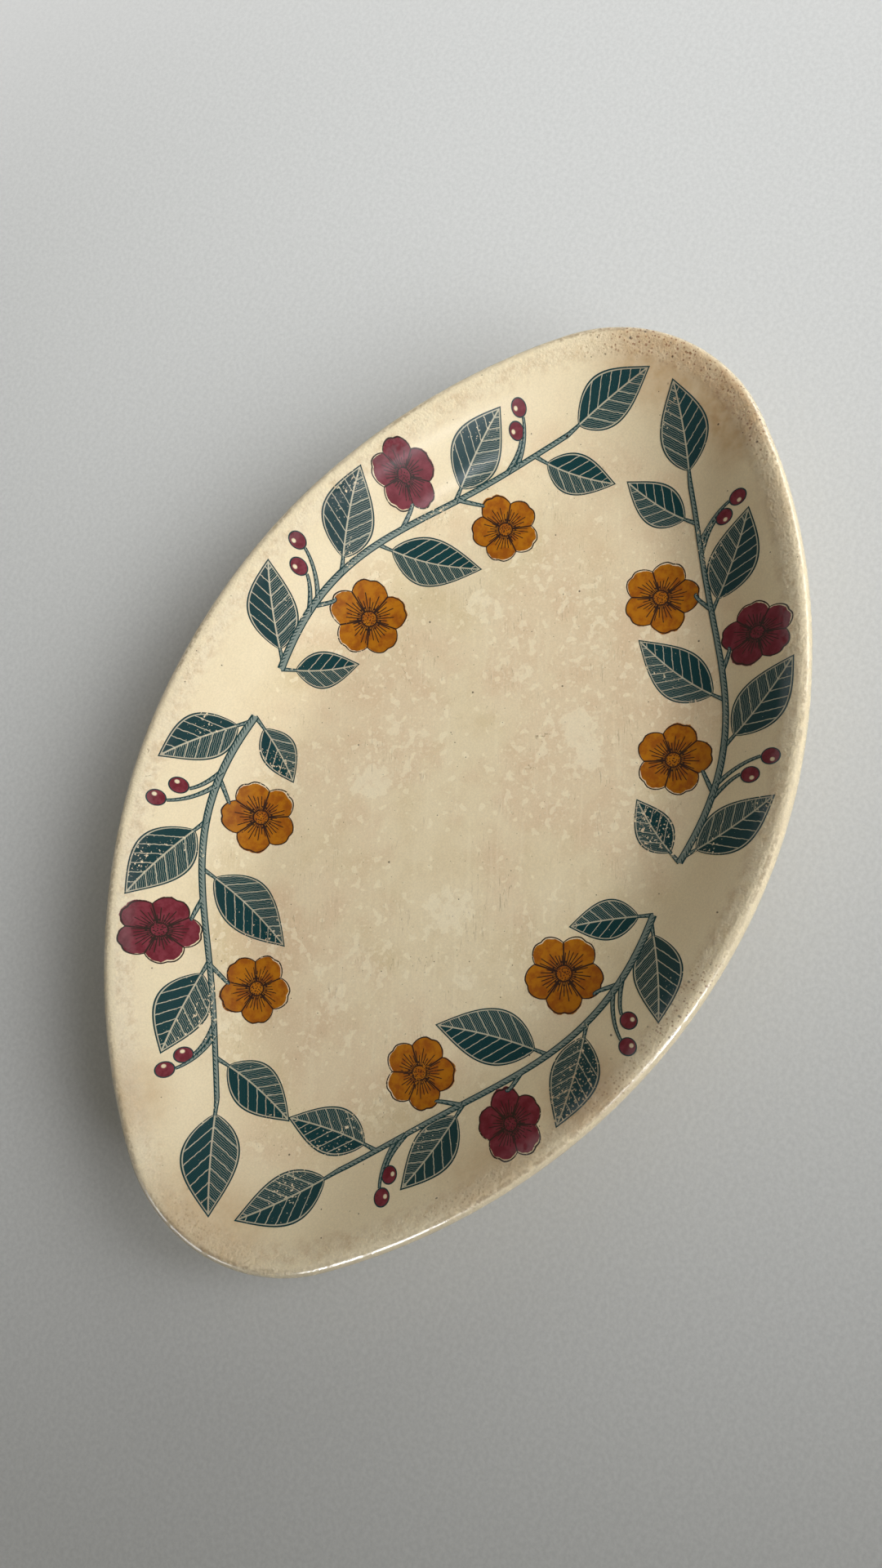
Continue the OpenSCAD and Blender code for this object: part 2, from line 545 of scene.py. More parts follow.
def startRing(bm, filled):
    count = 2 * (ringSteps["end"] + ringSteps["side"])
    bmesh.ops.create_circle(bm, cap_ends=filled, cap_tris=filled, segments=count, radius=1)
    layer = bm.verts.layers.float.new("turn")
    for vert in bm.verts:
        index = round(math.atan2(vert.co.y, vert.co.x) / math.tau * count) % count
        half, left = divmod(index, count // 2)
        if left < ringSteps["end"]:
            turn = left / ringSteps["end"]
        else:
            turn = 1 + (left - ringSteps["end"]) / ringSteps["side"]
        vert[layer] = 2 * half + turn
    return layer


def moveRing(verts, layer, station):
    oval, height = station
    for vert in verts:
        vert.co = (*ovalPoint(oval, vert[layer]), height)


def grow(bm, edges):  # extrudes a row of edges, and returns its new verts and edges
    made = bmesh.ops.extrude_edge_only(bm, edges=edges)["geom"]
    verts = [item for item in made if isinstance(item, bmesh.types.BMVert)]
    return verts, [item for item in made if isinstance(item, bmesh.types.BMEdge) and item.is_boundary]


def growRing(bm, edges, layer, station):
    verts, edges = grow(bm, edges)
    moveRing(verts, layer, station)
    return edges


def addObject(name, data):
    made = bpy.data.objects.new(name, data)
    scene.collection.objects.link(made)
    return made


def addMesh(bm, name, materials):
    mesh = bpy.data.meshes.new(name)
    bm.to_mesh(mesh)
    bm.free()
    for material in materials:
        mesh.materials.append(material)
    return addObject(name, mesh)


def makePiece(bm, name, materials):
    bmesh.ops.scale(bm, vec=(mm, mm, mm), verts=bm.verts[:])
    for face in bm.faces:
        face.smooth = True
    piece = addMesh(bm, name, materials)
    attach(piece, "root")
    return piece


# the dish: one glazed skin, from the middle of the floor over the lip to the middle of the underside

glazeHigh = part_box("glaze")[1]
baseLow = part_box("base_glaze")[0]

dish = {
    "rim": (glazeHigh.x / mm, glazeHigh.y / mm, 38),
    "floor": (78, 41, 23),
    "height": glazeHigh.z / mm,
    "floorTop": 9.6,
    "underside": baseLow.z / mm,
    "lip": 4.1,
    "lipInset": 2.2,  # from the rim to the middle of the lip
    "lipSquare": (2.5, 3.4),  # inside and outside, where 2 would make the lip's edge a half round
    "cove": 0.6,  # share of the wall's run that curves up from the floor
    "roll": (0.8, 0.30),  # share of the run where the wall eases outwards, and the slope it loses
    "floorShares": (0.25, 0.5, 0.75, 0.88, 0.96),
    "wallRings": 26,
    "lipRings": 18,
    "sag": 0.35,  # how far the middle of the floor has sunk
    "warp": 0.45,  # how far the rim wanders up and down
    "wobble": 0.30,  # how far the wall wanders in and out
    "waveLength": 60,  # of the warp
    "wobbleFiner": 1.3,  # how many times finer the wobble is
    "warpStart": (3.1, 7.7, 0.4),
    "wobbleStart": (11.2, 0.3, 5.9),
}


def dishStations():
    lipRadius = dish["lip"] / 2
    lipOval = grownBy(dish["rim"], -dish["lipInset"])
    lipHeight = dish["height"] - dish["lipInset"]
    run = sum(lipOval[:2]) / 2 - sum(dish["floor"][:2]) / 2
    rollStart, slopeLost = dish["roll"]

    def rise(share):
        eased = slopeLost / (1 - rollStart) / 2 * max(0, share - rollStart) ** 2
        curved = share ** 2 / (2 * dish["cove"]) if share < dish["cove"] else share - dish["cove"] / 2
        return curved - eased

    lean = math.atan2((1 - slopeLost) / rise(1) * (lipHeight - dish["floorTop"]), run)

    def lipStation(angle):  # angle off the wall's run, from inside to outside
        power = 2 / dish["lipSquare"][angle < 0]
        along = abs(math.cos(angle)) ** power
        inward = math.copysign(abs(math.sin(angle)) ** power, angle)
        out = along * math.cos(lean) - inward * math.sin(lean)
        up = along * math.sin(lean) + inward * math.cos(lean)
        return grownBy(lipOval, lipRadius * out), lipHeight + lipRadius * up

    def wall(bottom, lip):
        lipEdge, top = lip
        stations = []
        for ring in range(dish["wallRings"]):
            share = ring / dish["wallRings"]
            height = bottom + (top - bottom) * rise(share) / rise(1)
            stations.append((between(dish["floor"], lipEdge, share), height))
        return stations

    quarter = math.pi / 2
    inner = wall(dish["floorTop"], lipStation(quarter))
    over = [lipStation(quarter - math.pi * step / dish["lipRings"]) for step in range(dish["lipRings"] + 1)]
    outer = wall(dish["underside"], lipStation(-quarter))[::-1]
    floorOvals = [tuple(size * share for size in dish["floor"]) for share in dish["floorShares"]]
    floorRings = [(oval, dish["floorTop"]) for oval in floorOvals]
    baseRings = [(oval, dish["underside"]) for oval in floorOvals[::-1]]
    return floorRings + inner, over, outer + baseRings


def handMade(point):  # the small unevenness of a pressed and fired dish
    up = min(max((point.z - dish["underside"]) / (dish["height"] - dish["underside"]), 0), 1)
    out = Vector((point.x / dish["rim"][0], point.y / dish["rim"][1])).length
    place = Vector((point.x, point.y, 0)) / dish["waveLength"]
    sunk = dish["sag"] * max(0, 1 - 2 * out ** 2)
    warp = noise.noise(place + Vector(dish["warpStart"]))
    point.z += dish["warp"] * warp * up ** 2 - sunk
    wobble = noise.noise(place * dish["wobbleFiner"] + Vector(dish["wobbleStart"]))
    flat = Vector((point.x, point.y, 0))
    if flat.length > 1:
        point += flat.normalized() * (dish["wobble"] * wobble * up)
    return point


def makeDish():
    bm = bmesh.new()
    layer = startRing(bm, True)
    outside = bm.verts.layers.float.new("outside")  # 0 up the inside, 0 to 1 over the lip, 1 down the outside
    inner, over, outer = dishStations()
    edges = [edge for edge in bm.edges if edge.is_boundary]
    pole = min(bm.verts, key=lambda vert: vert.co.length)
    moveRing([vert for vert in bm.verts if vert is not pole], layer, inner[0])
    pole.co = (0, 0, dish["floorTop"])
    overShares = [step / dish["lipRings"] for step in range(len(over))]
    shares = [0] * len(inner) + overShares + [1] * (len(outer) - 1)
    for share, station in list(zip(shares, inner + over + outer[1:]))[1:]:
        edges = growRing(bm, edges, layer, station)
        for edge in edges:
            for vert in edge.verts:
                vert[outside] = share
    cap = bmesh.ops.contextual_create(bm, geom=edges)["faces"]
    for vert in bmesh.ops.poke(bm, faces=cap)["verts"]:
        vert[outside] = 1
    for vert in bm.verts:
        vert.co = handMade(vert.co.copy())
    bm.verts.layers.float.remove(layer)
    bmesh.ops.recalc_face_normals(bm, faces=bm.faces[:])
    surface = BVHTree.FromBMesh(bm)
    piece = makePiece(bm, "dish", [glazeMaterial()])
    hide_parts("body", "glaze", "base_glaze")
    return piece, surface


dishPiece, dishSurface = makeDish()
print("dish:", len(dishPiece.data.polygons), "faces")


# the foot ring, with soft corners round its bare standing face

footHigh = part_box("foot_ring")[1]

foot = {
    "oval": (footHigh.x / mm, footHigh.y / mm, 21),
    "height": footHigh.z / mm,
    "root": 8,
    "face": 4,
    "corner": 0.9,
    "cornerRings": 5,
    "merge": 1e-4,
}


def footStations():
    draft = (foot["root"] - foot["face"]) / 2
    corner = foot["corner"]
    outer = [(0, foot["height"])]  # insets and heights, down the side and round the corner to the face
    for step in range(foot["cornerRings"] + 1):
        turn = math.pi / 2 * step / foot["cornerRings"]
        outer.append((draft + corner * (1 - math.cos(turn)), corner * (1 - math.sin(turn))))
    inner = [(foot["root"] - inset, height) for inset, height in outer[::-1]]
    return [(grownBy(foot["oval"], -inset), height) for inset, height in outer + inner]


def makeFoot():
    bm = bmesh.new()
    layer = startRing(bm, False)
    stations = footStations()
    moveRing(bm.verts, layer, stations[0])
    edges = bm.edges[:]
    for station in stations[1:] + stations[:1]:
        edges = growRing(bm, edges, layer, station)
    bmesh.ops.remove_doubles(bm, verts=bm.verts[:], dist=foot["merge"])
    bm.verts.layers.float.remove(layer)
    bmesh.ops.recalc_face_normals(bm, faces=bm.faces[:])
    outside = bm.verts.layers.float.new("outside")
    for vert in bm.verts:
        vert[outside] = 1.0
    piece = makePiece(bm, "foot", [footMaterial()])
    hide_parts("foot_ring")
    return piece


footPiece = makeFoot()
print("foot:", len(footPiece.data.polygons), "faces")


# the print: engraved in slate over a thin wash, and filled in by brush

ink = {
    "slate": (0.004, 0.035, 0.038, 1),
    "wash": (0.130, 0.190, 0.175, 1),  # thin slate under the engraved lines
    "brown": (0.024, 0.013, 0.008, 1),  # slate lines over the paint
    "ochre": (0.395, 0.136, 0.002, 1),
    "ochreDeep": (0.265, 0.068, 0.002, 1),
    "crimson": (0.125, 0.005, 0.015, 1),
    "crimsonPale": (0.185, 0.020, 0.034, 1),
    "cover": 0.997,
    "paintCover": 0.99,
    "lossPatches": (0.06, 2, 0.5, 0.46, 0.66),
    "lossLimit": (-0.13, 0.74),  # what the patches take off, and its base
    "lossGrain": (1.5, 3, 0.6),
    "lossEdge": (-0.04, 0.03),
    "thickness": 0.20,  # depth of a printed sheet, most of it sunk in the glaze
    "merge": 0.004,
    "sharp": 0.7,  # radians; edges that turn more stay sharp
}
sheetLayers = ("along", "across", "edge")  # place on the motif, and distance in from its outline


def sheetPlaces(tree):
    return [attribute(tree, name) for name in sheetLayers]


def lineDistance(value, pitch):  # distance to the nearest of a row of lines
    return sums("PINGPONG", value, pitch / 2)


def wornInk(look, mask):  # small losses, more of them in patches
    limit = weigh(mottle(look["point"], *ink["lossPatches"]), *ink["lossLimit"])
    grain = cloud(look["point"], *ink["lossGrain"])
    return product(mask, fade(sums("SUBTRACT", grain, limit), *ink["lossEdge"]))


def engrave(look, lines, washCover):  # slate lines over a thin wash, both worn
    kept = wornInk(look, ink["cover"])
    washed = tint(product(kept, washCover), look["colour"], ink["wash"])
    look["colour"] = tint(product(lines, kept), washed, ink["slate"])


def paintOver(look, paint, streaks, brushed, lines, lineColour):  # worn lines over two streaky colours
    colour = tint(mottle(look["point"], *streaks), *paint)
    painted = tint(product(brushed, ink["paintCover"]), look["colour"], colour)
    look["colour"] = tint(product(wornInk(look, lines), ink["cover"]), painted, lineColour)


def printMaterial(name, draw):
    material, tree, shader = startMaterial(name)
    look = glazeLook(tree)
    draw(tree, look)
    glazeShader(shader, look)
    return material


# leaves: a pair of numbers is the half width of a line and its softness

leaf = {
    "steps": (28, 8),  # along and across
    "belly": 0.80,  # under 1, the leaf is widest nearer its root
    "bend": 0.10,
    "outline": (0.34, 0.05),
    "reserve": (0.26, 0.06),  # pale line kept inside the outline
    "rib": (0.17, 0.05),
    "vein": (0.13, 0.05),
    "veinPitch": 2.9,
    "hatchPitch": 0.52,
    "hatchGap": (-0.064, 0.056),  # what the dark half takes off, and the pale half's gap
    "hatchSoft": 0.03,
    "halves": 0.4,  # how far the dark half runs into the pale one
    "lean": 0.95,  # of the veins, forward for each step out
    "shake": (0.9, 2, 0.55),  # the hand's unsteadiness
    "washCover": 0.82,
    "spared": 0.36,  # less wash in the veins and the pale line
}


def drawLeaf(tree, look):
    along, across, edge = sheetPlaces(tree)
    away = sums("ABSOLUTE", across)
    shake = swing(look["point"], *leaf["shake"])
    slant = sums("ADD", weigh(away, -leaf["lean"], along), shake)
    outline = below(edge, *leaf["outline"])
    reserve, reserveSoft = leaf["reserve"]
    inner = rest(below(edge, leaf["outline"][0] + reserve, reserveSoft))
    veins = below(lineDistance(slant, leaf["veinPitch"]), *leaf["vein"])
    rib = below(away, *leaf["rib"])
    shaded = ramp(across, -leaf["halves"], leaf["halves"])
    gap = weigh(shaded, *leaf["hatchGap"])
    past = sums("SUBTRACT", lineDistance(slant, leaf["hatchPitch"]), gap)
    hatched = ramp(past, -leaf["hatchSoft"], leaf["hatchSoft"])
    body = product(inner, rest(veins), rest(rib), hatched)
    spared = largest(rest(inner), veins, rib)
    engrave(look, largest(outline, body), weigh(spared, -leaf["spared"], leaf["washCover"]))


# stems and stalks

stem = {
    "width": 1.5,
    "stalkWidth": 1.0,
    "taper": (1.1, 0.35),  # share of the width at the root, and what the tip loses
    "steps": (70, 2),  # along and across
    "stalkSteps": (14, 2),
    "leafStalkSteps": (6, 2),
    "side": (0.24, 0.05),
    "nick": (0.17, 0.06),
    "nickPitch": 1.0,
    "nickLean": 1.4,
    "halves": 0.10,  # how far the nicked half runs into the pale one
    "washCover": 0.90,
}


def drawStem(tree, look):
    along, across, edge = sheetPlaces(tree)
    sides = below(edge, *stem["side"])
    slant = weigh(across, stem["nickLean"], along)
    nicks = below(lineDistance(slant, stem["nickPitch"]), *stem["nick"])
    nicks = product(nicks, ramp(across, -stem["halves"], stem["halves"]))
    engrave(look, largest(sides, nicks), stem["washCover"])


# blossoms: the lines inside the outline are in shares of the radius

blossom = {
    "petals": 5,
    "petalArc": (0.55, 0.45),  # centre and radius of the arc at a petal's end
    "notch": (0.05, 0.10),  # depth and half angle of the nick in that end
    "segments": 80,
    "rings": (0.18, 0.36, 0.54, 0.72, 0.87, 1.0),
    "spill": 0.55,  # of the sheet past the outline, where the paint slipped
    "outline": (0.17, 0.05),
    "within": (-0.10, 0.0),
    "split": (0.020, 0.006),  # between two petals
    "strokes": 7,  # on each petal
    "stroke": (0.013, 0.005),
    "strokeReach": (0.26, 0.44),  # what chance adds, and the shortest
    "strokeEnd": 0.02,
    "heart": 0.20,
    "heartEdge": 0.02,
    "heartLine": (0.020, 0.008),
    "beads": 15,
    "beadOut": 0.09,  # from the heart's line
    "bead": (0.030, 0.010),
    "stippleScale": 1.9,
    "stipple": (0.28, 0.08),
    "slip": (0.34, -0.20, 0.06),  # of the brush along, across and inwards
    "brushEdge": (0.7, 2, 0.7),  # its unevenness
    "brushSoft": 0.06,
    "streaks": (0.45, 4, 0.6, 0.36, 0.66),
}


def petalReach(angle):
    sector = math.tau / blossom["petals"]
    off = (angle + sector / 2) % sector - sector / 2
    centre, radius = blossom["petalArc"]
    depth, spread = blossom["notch"]
    reach = centre * math.cos(off) + math.sqrt(radius ** 2 - (centre * math.sin(off)) ** 2)
    return reach - depth * math.exp(-(off / spread) ** 2)


def drawPetals(*paint):
    def draw(tree, look):
        x, y, edge = sheetPlaces(tree)
        radius = rootOfSquares(x, y)
        angle = sums("ARCTAN2", y, x)
        heart = blossom["heart"]

        # lines between the petals, and strokes of uneven length out from the heart
        petal = math.tau / blossom["petals"]
        toSplit = sums("SUBTRACT", petal / 2, lineDistance(angle, petal))
        split = below(product(radius, toSplit), *blossom["split"])
        strokeAngle = petal / blossom["strokes"]
        toStroke = product(radius, lineDistance(angle, strokeAngle))
        which = sums("FLOOR", weigh(angle, 1 / strokeAngle, 0.5))
        chance = nextNode("TexWhiteNoise", {"W": which}, noise_dimensions="1D").outputs[0]
        past = sums("SUBTRACT", radius, weigh(chance, *blossom["strokeReach"]))
        stroke = below(toStroke, *blossom["stroke"])
        stroke = product(stroke, below(past, 0, blossom["strokeEnd"]))
        outer = ramp(radius, heart, heart + blossom["heartEdge"])
        petalLines = product(outer, largest(split, stroke))

        # the heart's line, the beads round it and the stipple in it
        fromHeart = sums("ABSOLUTE", sums("SUBTRACT", radius, heart))
        heartLine = below(fromHeart, *blossom["heartLine"])
        beadTurn = product(radius, lineDistance(angle, math.tau / blossom["beads"]))
        beadOut = sums("SUBTRACT", radius, heart + blossom["beadOut"])
        beads = below(rootOfSquares(beadTurn, beadOut), *blossom["bead"])
        toDot = cells(look["point"], blossom["stippleScale"]).outputs["Distance"]
        stipple = product(rest(outer), below(toDot, *blossom["stipple"]))
        within = ramp(edge, *blossom["within"])
        lines = product(within, largest(petalLines, heartLine, beads, stipple))
        outline = below(sums("ABSOLUTE", edge), *blossom["outline"])

        # the paint, slipped a little to one side
        slipAlong, slipAcross, kept = blossom["slip"]
        side = weigh(x, slipAlong, product(y, slipAcross))
        ragged = swing(look["point"], *blossom["brushEdge"])
        slip = sums("ADD", sums("ADD", side, ragged), kept)
        soft = blossom["brushSoft"]
        brushed = ramp(sums("SUBTRACT", edge, slip), -soft, soft)
        paintOver(look, paint, blossom["streaks"], brushed, largest(outline, lines), ink["brown"])
    return draw


# berries, with a spot left bare for the light on them

berry = {
    "outline": (0.26, 0.05),
    "streaks": (0.6, 3, 0.5, 0.36, 0.66),
    "spot": (-0.30, 0.32, 0),  # its place and its edge, in shares of the radius
    "spotEdge": (0.16, 0.30),
}


def berryReach(angle):  # round, in shares of its radius
    return 1


def drawBerry(tree, look):
    x, y, edge = sheetPlaces(tree)
    outline = below(edge, *berry["outline"])
    away = distanceTo(nextNode("CombineXYZ", {0: x, 1: y}).outputs[0], berry["spot"])
    paint = ink["crimson"], ink["crimsonPale"]
    paintOver(look, paint, berry["streaks"], ramp(away, *berry["spotEdge"]), outline, ink["slate"])


# the wreath: four leafy branches of flat sheets, laid on the well and then thickened

wreath = {
    "inset": 19.0,  # from the rim to the stem, in plan
    "sway": 2.2,
    "arc": (87.0, 45.0),  # degrees round the side, from the root of a branch to its tip
    "leafStalk": 3.2,
    "leafTuck": 1.15,  # a leaf's stalk runs this far, in its own lengths
    "stalkTuck": 0.3,  # of a stalk over the petals' outline
    "stalkBack": 0.07,  # how far back along the stem a stalk leaves it
    "knee": (0.015, 0.35),  # how far back, and what share of the way out, a stalk bends
    "lift": {"stem": 0.09, "leaf": 0.05, "berry": 0.05, "blossom": 0.07},
    # share along the stem, side, length, width, angle off the stem
    "leaves": (
        (0.00, -1, 16, 9.5, 66), (0.015, 1, 19, 10.5, 30), (0.30, 1, 21, 11.5, 33), (0.42, -1, 24, 13.0, 52),
        (0.655, 1, 20, 11.0, 33), (0.90, -1, 19, 10.5, 52), (1.00, 1, 21, 11.5, 6),
    ),
    # share along the stem, distance out from it, radius, paint
    "blossoms": ((0.255, -10.8, 9.3, 0), (0.565, 8.6, 7.9, 1), (0.735, -10.8, 9.0, 0)),
    # share along the stem, distance out from it, radius
    "berries": ((0.235, 6.6, 2.0), (0.275, 10.0, 2.0), (0.885, 6.0, 1.9), (0.915, 9.4, 1.9)),
    "berryPaint": 2,
    "sizeDrift": 0.05,
    "angleDrift": 3.0,
    "placeDrift": 0.8,
    "above": 100,  # height that the sheets are laid from
    "seed": 11,
}
quarters = ((1, 1), (-1, 1), (-1, -1), (1, -1))  # signs that mirror a branch into each quarter
nudge = 0.01  # share of a path to both sides of a point, to find its heading


def startSheet():
    bm = bmesh.new()
    return bm, [bm.verts.layers.float.new(name) for name in sheetLayers]


def layVert(vert, plan, lift, mirror):
    above = Vector((plan.x * mirror[0], plan.y * mirror[1], wreath["above"]))
    hit, normal = dishSurface.ray_cast(above, Vector((0, 0, -1)))[:2]
    vert.co = hit + normal * lift


def turned(point, angle):
    return Vector((point.x * math.cos(angle) - point.y * math.sin(angle),
                   point.x * math.sin(angle) + point.y * math.cos(angle)))


def stemAt(share):
    width, side = dish["rim"][1], sideRadius(dish["rim"])
    first, last = wreath["arc"]
    angle = math.radians(first + (last - first) * share)
    reach = side - wreath["inset"] + wreath["sway"] * math.sin(math.tau * share)
    return Vector((reach * math.cos(angle), width - side + reach * math.sin(angle)))


def stemHeading(share):
    way = stemAt(share + nudge) - stemAt(share - nudge)
    return math.atan2(way.y, way.x)


def besideStem(share, out):
    return stemAt(share) + turned(Vector((0, out)), stemHeading(share))


def kneeAt(share, out):
    back, shareOut = wreath["knee"]
    return besideStem(share - back, out * shareOut)


def bowed(first, knee, last):  # a path from first to last that bends towards the knee
    def path(share):
        return first * (1 - share) ** 2 + knee * 2 * share * (1 - share) + last * share ** 2
    return path


def straight(first, last, past):  # a path that runs on past its last point
    def path(share):
        return first.lerp(last, share * past)
    return path


def addStrip(bm, layers, steps, length, shapeAt, lift, mirror):  # a grid from a root to a tip
    grid = bmesh.ops.create_grid(bm, x_segments=steps[0], y_segments=steps[1], size=1)
    for vert in grid["verts"]:
        share, across = (vert.co.x + 1) / 2, vert.co.y
        half, plan = shapeAt(share, across)
        for layer, value in zip(layers, (share * length, across * half, (1 - abs(across)) * half)):
            vert[layer] = value
        layVert(vert, plan, lift, mirror)


def addLeaf(bm, layers, root, heading, length, width, bend, mirror):
    def shapeAt(share, across):
        half = width / 2 * math.sin(math.pi * share ** leaf["belly"])
        local = Vector((share * length, across * half))
        local.y += bend * length * share ** 2
        return half, root + turned(local, heading)

    addStrip(bm, layers, leaf["steps"], length, shapeAt, wreath["lift"]["leaf"], mirror)


def addRibbon(bm, layers, path, steps, width, mirror):
    atRoot, lost = stem["taper"]

    def shapeAt(share, across):
        way = (path(share + nudge) - path(share - nudge)).normalized()
        half = width / 2 * (atRoot - lost * share)
        return half, path(share) + Vector((-way.y, way.x)) * across * half

    length = (path(1) - path(0)).length
    addStrip(bm, layers, steps, length, shapeAt, wreath["lift"]["stem"], mirror)


def addDisc(bm, layers, centre, heading, radius, reachAt, spill, lift, mirror, paint):
    before = set(bm.faces)
    made = bmesh.ops.create_circle(bm, cap_ends=True, cap_tris=True, segments=blossom["segments"], radius=1)
    angles = {vert: math.atan2(vert.co.y, vert.co.x) for vert in made["verts"] if vert.co.length > 0.5}
    pole = next(vert for vert in made["verts"] if vert not in angles)
    edges = [edge for edge in bm.edges if edge.is_boundary and all(vert in angles for vert in edge.verts)]
    spots = [(pole, centre, (0, 0, radius))]

    def place(verts, share, extra):
        for vert in verts:
            angle = vert[layers[0]]
            full = radius * reachAt(angle)
            out = share * full + extra
            local = Vector((out * math.cos(angle), out * math.sin(angle)))
            plan = centre + turned(local, heading)
            spots.append((vert, plan, (local.x / radius, local.y / radius, full - out)))

    for vert, angle in angles.items():
        vert[layers[0]] = angle  # rides along with each extruded ring
    place(angles, blossom["rings"][0], 0)
    rings = [(share, 0) for share in blossom["rings"][1:]] + ([(1, spill)] if spill else [])
    for share, extra in rings:
        verts, edges = grow(bm, edges)
        place(verts, share, extra)
    for vert, plan, values in spots:
        for layer, value in zip(layers, values):
            vert[layer] = value
        layVert(vert, plan, lift, mirror)
    for face in set(bm.faces) - before:
        face.material_index = paint


def closeSheet(bm, name, materials):
    bmesh.ops.remove_doubles(bm, verts=bm.verts[:], dist=ink["merge"])
    bm.normal_update()
    bmesh.ops.reverse_faces(bm, faces=[face for face in bm.faces if face.normal.z < 0])
    bmesh.ops.solidify(bm, geom=bm.faces[:], thickness=ink["thickness"])
    bm.normal_update()
    for edge in bm.edges:
        edge.smooth = not edge.is_manifold or edge.calc_face_angle() < ink["sharp"]
    makePiece(bm, name, materials)


def makeBranch(number, mirror, chance):
    def drift(amount):
        return chance.uniform(-amount, amount)

    leaves = []
    for share, side, length, width, angle in wreath["leaves"]:
        size = 1 + drift(wreath["sizeDrift"])
        heading = stemHeading(share) + math.radians(side * angle + drift(wreath["angleDrift"]))
        root = stemAt(share) + turned(Vector((wreath["leafStalk"], 0)), heading)
        leaves.append((share, root, heading, length * size, width * size, -leaf["bend"] * side))
    blooms = []
    for share, out, radius, paint in wreath["blossoms"]:
        centre = besideStem(share, out) + Vector((drift(wreath["placeDrift"]), drift(wreath["placeDrift"])))
        size = radius * (1 + drift(wreath["sizeDrift"]))
        blooms.append((share, out, centre, drift(math.pi), size, paint))

    # the stem, and the stalks of the blossoms, berries and leaves
    bm, layers = startSheet()
    addRibbon(bm, layers, stemAt, stem["steps"], stem["width"], mirror)
    stalks = []
    for share, out, centre, heading, size, paint in blooms:
        knee = kneeAt(share, out)
        way = knee - centre
        reach = size * petalReach(math.atan2(way.y, way.x) - heading) - wreath["stalkTuck"]
        stalks.append((share, knee, centre + way.normalized() * reach))
    for share, out, radius in wreath["berries"]:
        stalks.append((share, kneeAt(share, out), besideStem(share, out - radius)))
    for share, knee, last in stalks:
        path = bowed(stemAt(share - wreath["stalkBack"]), knee, last)
        addRibbon(bm, layers, path, stem["stalkSteps"], stem["stalkWidth"], mirror)
    for share, root, *shape in leaves:
        path = straight(stemAt(share), root, wreath["leafTuck"])
        addRibbon(bm, layers, path, stem["leafStalkSteps"], stem["stalkWidth"], mirror)
    closeSheet(bm, f"stem_{number}", [stemPrint])

    bm, layers = startSheet()
    for share, *shape in leaves:
        addLeaf(bm, layers, *shape, mirror)
    closeSheet(bm, f"leaves_{number}", [leafPrint])

    bm, layers = startSheet()
    lift = wreath["lift"]
    for share, out, centre, heading, size, paint in blooms:
        shape = petalReach, blossom["spill"], lift["blossom"]
        addDisc(bm, layers, centre, heading, size, *shape, mirror, paint)
    for share, out, radius in wreath["berries"]:
        shape = berryReach, 0, lift["berry"]
        addDisc(bm, layers, besideStem(share, out), 0, radius, *shape, mirror, wreath["berryPaint"])
    closeSheet(bm, f"blossoms_{number}", [ochrePrint, crimsonPrint, berryPrint])


stemPrint = printMaterial("slate stem print", drawStem)
leafPrint = printMaterial("slate leaf print", drawLeaf)
ochrePrint = printMaterial("ochre blossom print", drawPetals(ink["ochre"], ink["ochreDeep"]))
crimsonPrint = printMaterial("crimson blossom print", drawPetals(ink["crimson"], ink["crimsonPale"]))
berryPrint = printMaterial("crimson berry print", drawBerry)
branchChance = random.Random(wreath["seed"])
for quarter, signs in enumerate(quarters, 1):
    makeBranch(quarter, signs, branchChance)
print("wreath:", len(quarters), "branches")


# camera at the photograph's angle

cameraSet = {
    "aim": (-0.8, 5.4, 10.0),
    "distance": 292.6,
    "azimuth": -114.7,
    "elevation": 75.9,
    "pictureTop": 27.8,  # azimuth that points up in the picture
    "lens": 27.19,
    "sensor": 36.0,
    "nearest": 20,
}


def fromAngles(azimuth, elevation):
    flat = math.cos(math.radians(elevation))
    turn = math.radians(azimuth)
    return Vector((flat * math.cos(turn), flat * math.sin(turn), math.sin(math.radians(elevation))))


def makeCamera():
    data = bpy.data.cameras.new("camera")
    data.lens = cameraSet["lens"]
    data.sensor_width = cameraSet["sensor"]
    data.clip_start = cameraSet["nearest"] * mm
    camera = addObject("camera", data)
    back = fromAngles(cameraSet["azimuth"], cameraSet["elevation"])
    up = fromAngles(cameraSet["pictureTop"], 0)
    up = (up - back * up.dot(back)).normalized()
    facing = Matrix((up.cross(back), up, back)).transposed().to_4x4()
    place = (Vector(cameraSet["aim"]) + back * cameraSet["distance"]) * mm
    camera.matrix_world = Matrix.Translation(place) @ facing
    scene.camera = camera


makeCamera()
print("camera: at", cameraSet["distance"], "mm")


# windows, a ceiling, glints for the glaze, a dim fill and a pale grey table

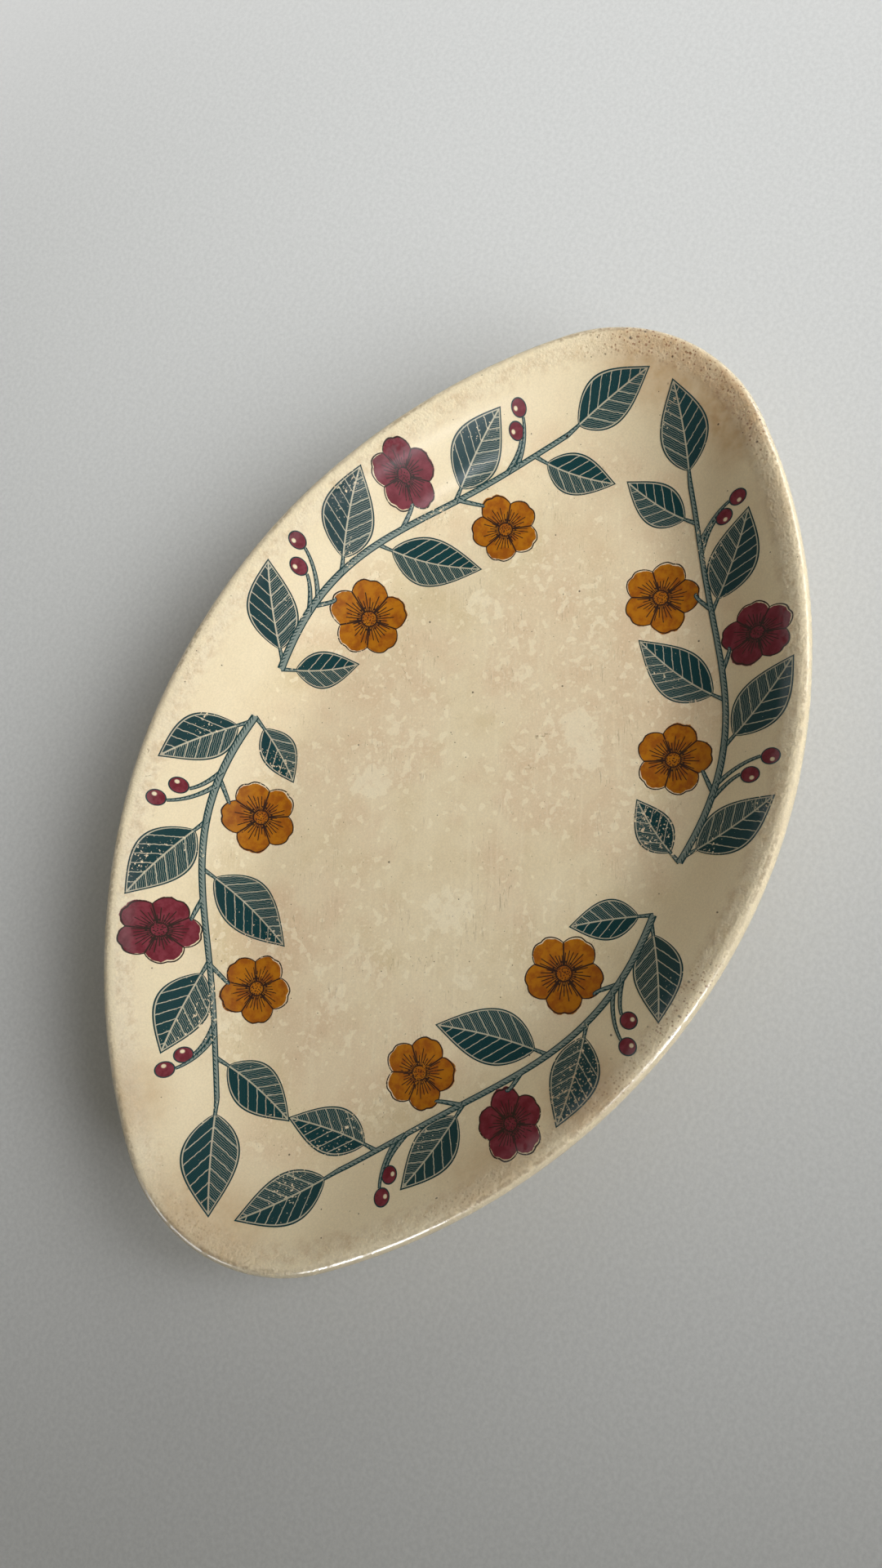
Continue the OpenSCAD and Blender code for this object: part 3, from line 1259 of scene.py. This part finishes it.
room = {
    # azimuth, elevation, distance, width, height, power, spread, plan point aimed at,
    # and whether it is only a mirrored glint
    "lamps": {
        "nearWindow": (-80, 38, 720, 620, 620, 0.62, 57, (190, 160), False),
        "farWindow": (-38, 43, 720, 620, 620, 0.72, 56, (180, 130), False),
        "sideWindow": (-122, 22, 800, 600, 600, 0.22, 180, (0, 0), False),
        "backWindow": (8, 24, 800, 500, 500, 1.20, 180, (0, 0), False),
        "ceiling": (0, 90, 1000, 900, 900, 0.90, 180, (0, 0), False),
        "wallGlint": (-109.5, 37, 660, 150, 46, 0.76, 180, (40, 30), True),
        "rimGlint": (-100.5, 12, 700, 150, 360, 3.20, 180, (0, -40), True),
        "lowGlint": (-150, 13, 700, 260, 380, 4.40, 180, (-60, -40), True),
        "endGlint": (164, 12, 700, 400, 400, 2.30, 180, (-60, 0), True),
        "highGlint": (-32, 10, 700, 520, 520, 3.60, 180, (60, -20), True),
    },
    "fill": 0.10,
    "fillColour": (1.0, 0.97, 0.90, 1),
    "windowColour": (0.975, 1.0, 1.05),
    "ceilingColour": (1.0, 0.975, 0.88),
    "background": (0.80, 0.80, 0.79, 1),
    "table": (0.604, 0.602, 0.573, 1),
    "tableGrain": (0.9, 4, 0.7, 0.30, 0.70, 0.93, 1.05),
    "tableRoughness": 0.75,
    "tableGloss": 0.0,
    "tableSize": 12000,
    "fade": (200, 420),  # the table runs into the background here
}


def makeLamp(name):
    azimuth, elevation, distance, width, height, power, spread, aim, glint = room["lamps"][name]
    data = bpy.data.lights.new(name, "AREA")
    data.shape = "ELLIPSE"
    data.size = width * mm
    data.size_y = height * mm
    data.energy = power
    data.color = room["ceilingColour" if name == "ceiling" else "windowColour"]
    data.spread = math.radians(spread)
    lamp = addObject(name, data)
    place = fromAngles(azimuth, elevation) * distance
    lamp.location = place * mm
    lamp.rotation_euler = (place - Vector((*aim, 0))).to_track_quat("Z", "Y").to_euler()
    lamp.visible_glossy = glint
    lamp.visible_diffuse = not glint
    lamp.visible_camera = False


def seenRays(tree):  # 1 for rays that see the background as it is
    path = addNode(tree, "LightPath")
    kinds = ("Camera", "Glossy", "Transmission")
    return largest(*(path.outputs[f"Is {kind} Ray"] for kind in kinds))


def makeRoom():
    world = bpy.data.worlds.new("room")
    scene.world = world
    world.use_nodes = True
    tree = world.node_tree
    tree.nodes.clear()
    light = addNode(tree, "Background", {"Color": room["fillColour"], "Strength": room["fill"]})
    seen = addNode(tree, "Background", {"Color": room["background"], "Strength": 1.0})
    mixer = addNode(tree, "MixShader", {0: seenRays(tree), 1: light.outputs[0], 2: seen.outputs[0]})
    addNode(tree, "OutputWorld", {"Surface": mixer.outputs[0]})


def makeTable():
    bm = bmesh.new()
    bmesh.ops.create_grid(bm, x_segments=1, y_segments=1, size=room["tableSize"] / 2 * mm)
    material, tree, shader = startMaterial("pale grey table")
    surface = shader.outputs[0].links[0].to_socket
    point = objectPoint(tree)
    grain = mottle(point, *room["tableGrain"])
    plug(shader.inputs["Base Color"], tint(1.0, room["table"], grain, "MULTIPLY"))
    shader.inputs["Roughness"].default_value = room["tableRoughness"]
    shader.inputs["Specular IOR Level"].default_value = room["tableGloss"]
    away = nextNode("VectorMath", {0: point}, operation="LENGTH").outputs["Value"]
    glow = addNode(tree, "Emission", {"Color": room["background"], "Strength": 1.0})
    faded = product(ramp(away, *room["fade"]), seenRays(tree))
    mixer = addNode(tree, "MixShader", {0: faded, 1: shader.outputs[0], 2: glow.outputs[0]})
    plug(surface, mixer.outputs[0])
    addMesh(bm, "table", [material])


for lampName in room["lamps"]:
    makeLamp(lampName)
makeRoom()
makeTable()
print("room:", len(room["lamps"]), "lamps, fill and table")
